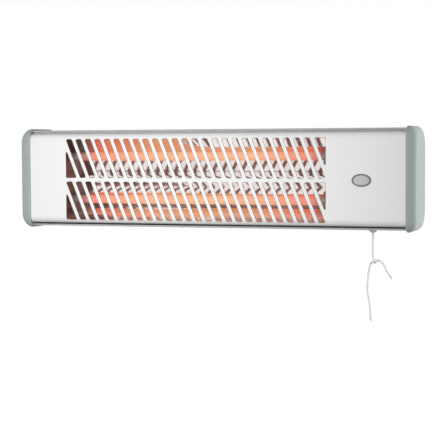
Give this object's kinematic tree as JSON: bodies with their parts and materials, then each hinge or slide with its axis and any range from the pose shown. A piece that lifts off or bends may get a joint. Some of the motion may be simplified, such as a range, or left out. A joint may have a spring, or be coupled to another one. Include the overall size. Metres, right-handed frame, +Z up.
{
  "type": "electric bar heater",
  "caption": "Wall-mounted electric bar heater: glowing quartz tubes in a polished reflector behind a slotted steel panel, on a tilting bracket, with a pull-cord switch.",
  "frame": {"origin": "centre of the wall plate's back face, midway between its two screw holes, where it meets the wall", "axes": "+X along the heater to the viewer's right, +Y into the wall, +Z up"},
  "size_m": [0.524, 0.1164, 0.2431],
  "materials": {
    "bracket_steel": "satin powder coat",
    "zinc_steel": "bright zinc plate",
    "nylon": "natural nylon",
    "casing_paint": "satin powder coat",
    "panel_paint": "satin white enamel",
    "cap_plastic": "fine textured moulding",
    "polished_aluminium": "bright rolled aluminium",
    "support_steel": "mill finish",
    "glowing_quartz": "frosted quartz, lit from inside",
    "glowing_wire": "resistance wire at red heat",
    "steatite": "unglazed steatite",
    "brass": "machined",
    "white_plastic": "moulded",
    "tan_plastic": "phenolic moulding",
    "black_rubber": "matt",
    "badge_grey": "moulded",
    "badge_silver": "satin, domed",
    "brown_insulation": "silicone sleeve",
    "blue_insulation": "silicone sleeve",
    "green_yellow_insulation": "silicone sleeve",
    "cord_fibre": "braided polyester"
  },
  "bodies": {
    "wall_bracket": {"wall_bracket": "bracket_steel", "pivot_screws": "zinc_steel", "pivot_washers": "nylon", "pivot_nuts": "zinc_steel"},
    "heater": {"tilt_bracket": "bracket_steel", "bracket_screws": "zinc_steel", "bracket_nuts": "zinc_steel", "rear_casing": "casing_paint", "front_panel": "panel_paint", "end_cap_left": "cap_plastic", "end_cap_right": "cap_plastic", "cap_screws": "zinc_steel", "reflector": "polished_aluminium", "reflector_rivets": "polished_aluminium", "element_support_left": "support_steel", "element_support_right": "support_steel", "foot_screws": "zinc_steel", "quartz_tube_upper": "glowing_quartz", "quartz_tube_lower": "glowing_quartz", "heating_coil_upper": "glowing_wire", "heating_coil_lower": "glowing_wire", "ceramic_caps": "steatite", "element_pins": "brass", "pin_nuts": "zinc_steel", "heat_shield": "support_steel", "switch_housing": "white_plastic", "switch_cover": "white_plastic", "switch_cover_screws": "zinc_steel", "switch_axle": "zinc_steel", "return_spring": "zinc_steel", "switch_contacts": "brass", "cord_bush": "white_plastic", "terminal_block": "white_plastic", "terminal_screws": "brass", "block_screws": "zinc_steel", "cable_clamp": "white_plastic", "clamp_screws": "zinc_steel", "cable_grommet": "black_rubber", "badge_rim_ring": "badge_grey", "badge_insert": "badge_silver", "element_link": "brown_insulation", "live_lead": "brown_insulation", "element_lead_upper": "blue_insulation", "element_lead_lower": "blue_insulation", "earth_lead": "green_yellow_insulation", "earth_stud": "brass"},
    "pulled_cord": {"inner_cord": "cord_fibre"},
    "pull_drum": {"pull_drum": "nylon", "drum_cord": "cord_fibre"},
    "contact_rotor": {"contact_rotor": "tan_plastic"},
    "hanging_cord": {"pull_cord": "cord_fibre", "cord_knot": "cord_fibre", "cord_tail_long": "cord_fibre", "cord_tail_short": "cord_fibre"}
  },
  "joints": [
    {"name": "tilt", "type": "hinge", "parent": "wall_bracket", "child": "heater", "pos_m": [0, -0.02, 0], "axis": [1, 0, 0], "range_deg": [0, 30]},
    {"name": "cord_pull", "type": "slide", "parent": "heater", "child": "pulled_cord", "axis": [0, 0, -1], "range_m": [0, 0.01], "stiffness_N_per_m": 500, "springref_m": -0.006},
    {"name": "drum_turn", "type": "hinge", "parent": "heater", "child": "pull_drum", "pos_m": [0.209, -0.074, -0.018], "axis": [0, -1, 0], "range_deg": [0, 72]},
    {"name": "rotor_turn", "type": "hinge", "parent": "heater", "child": "contact_rotor", "pos_m": [0.209, -0.074, -0.018], "axis": [0, -1, 0], "continuous": true},
    {"name": "cord_swing", "type": "hinge", "parent": "pulled_cord", "child": "hanging_cord", "pos_m": [0.201, -0.074, -0.0482], "axis": [1, 0, 0], "range_deg": [-30, 0]}
  ],
  "couplings": [
    {"joint": "drum_turn", "follows": "cord_pull", "rad_per_m": 125},
    {"joint": "cord_swing", "follows": "tilt", "ratio": -1}
  ]
}
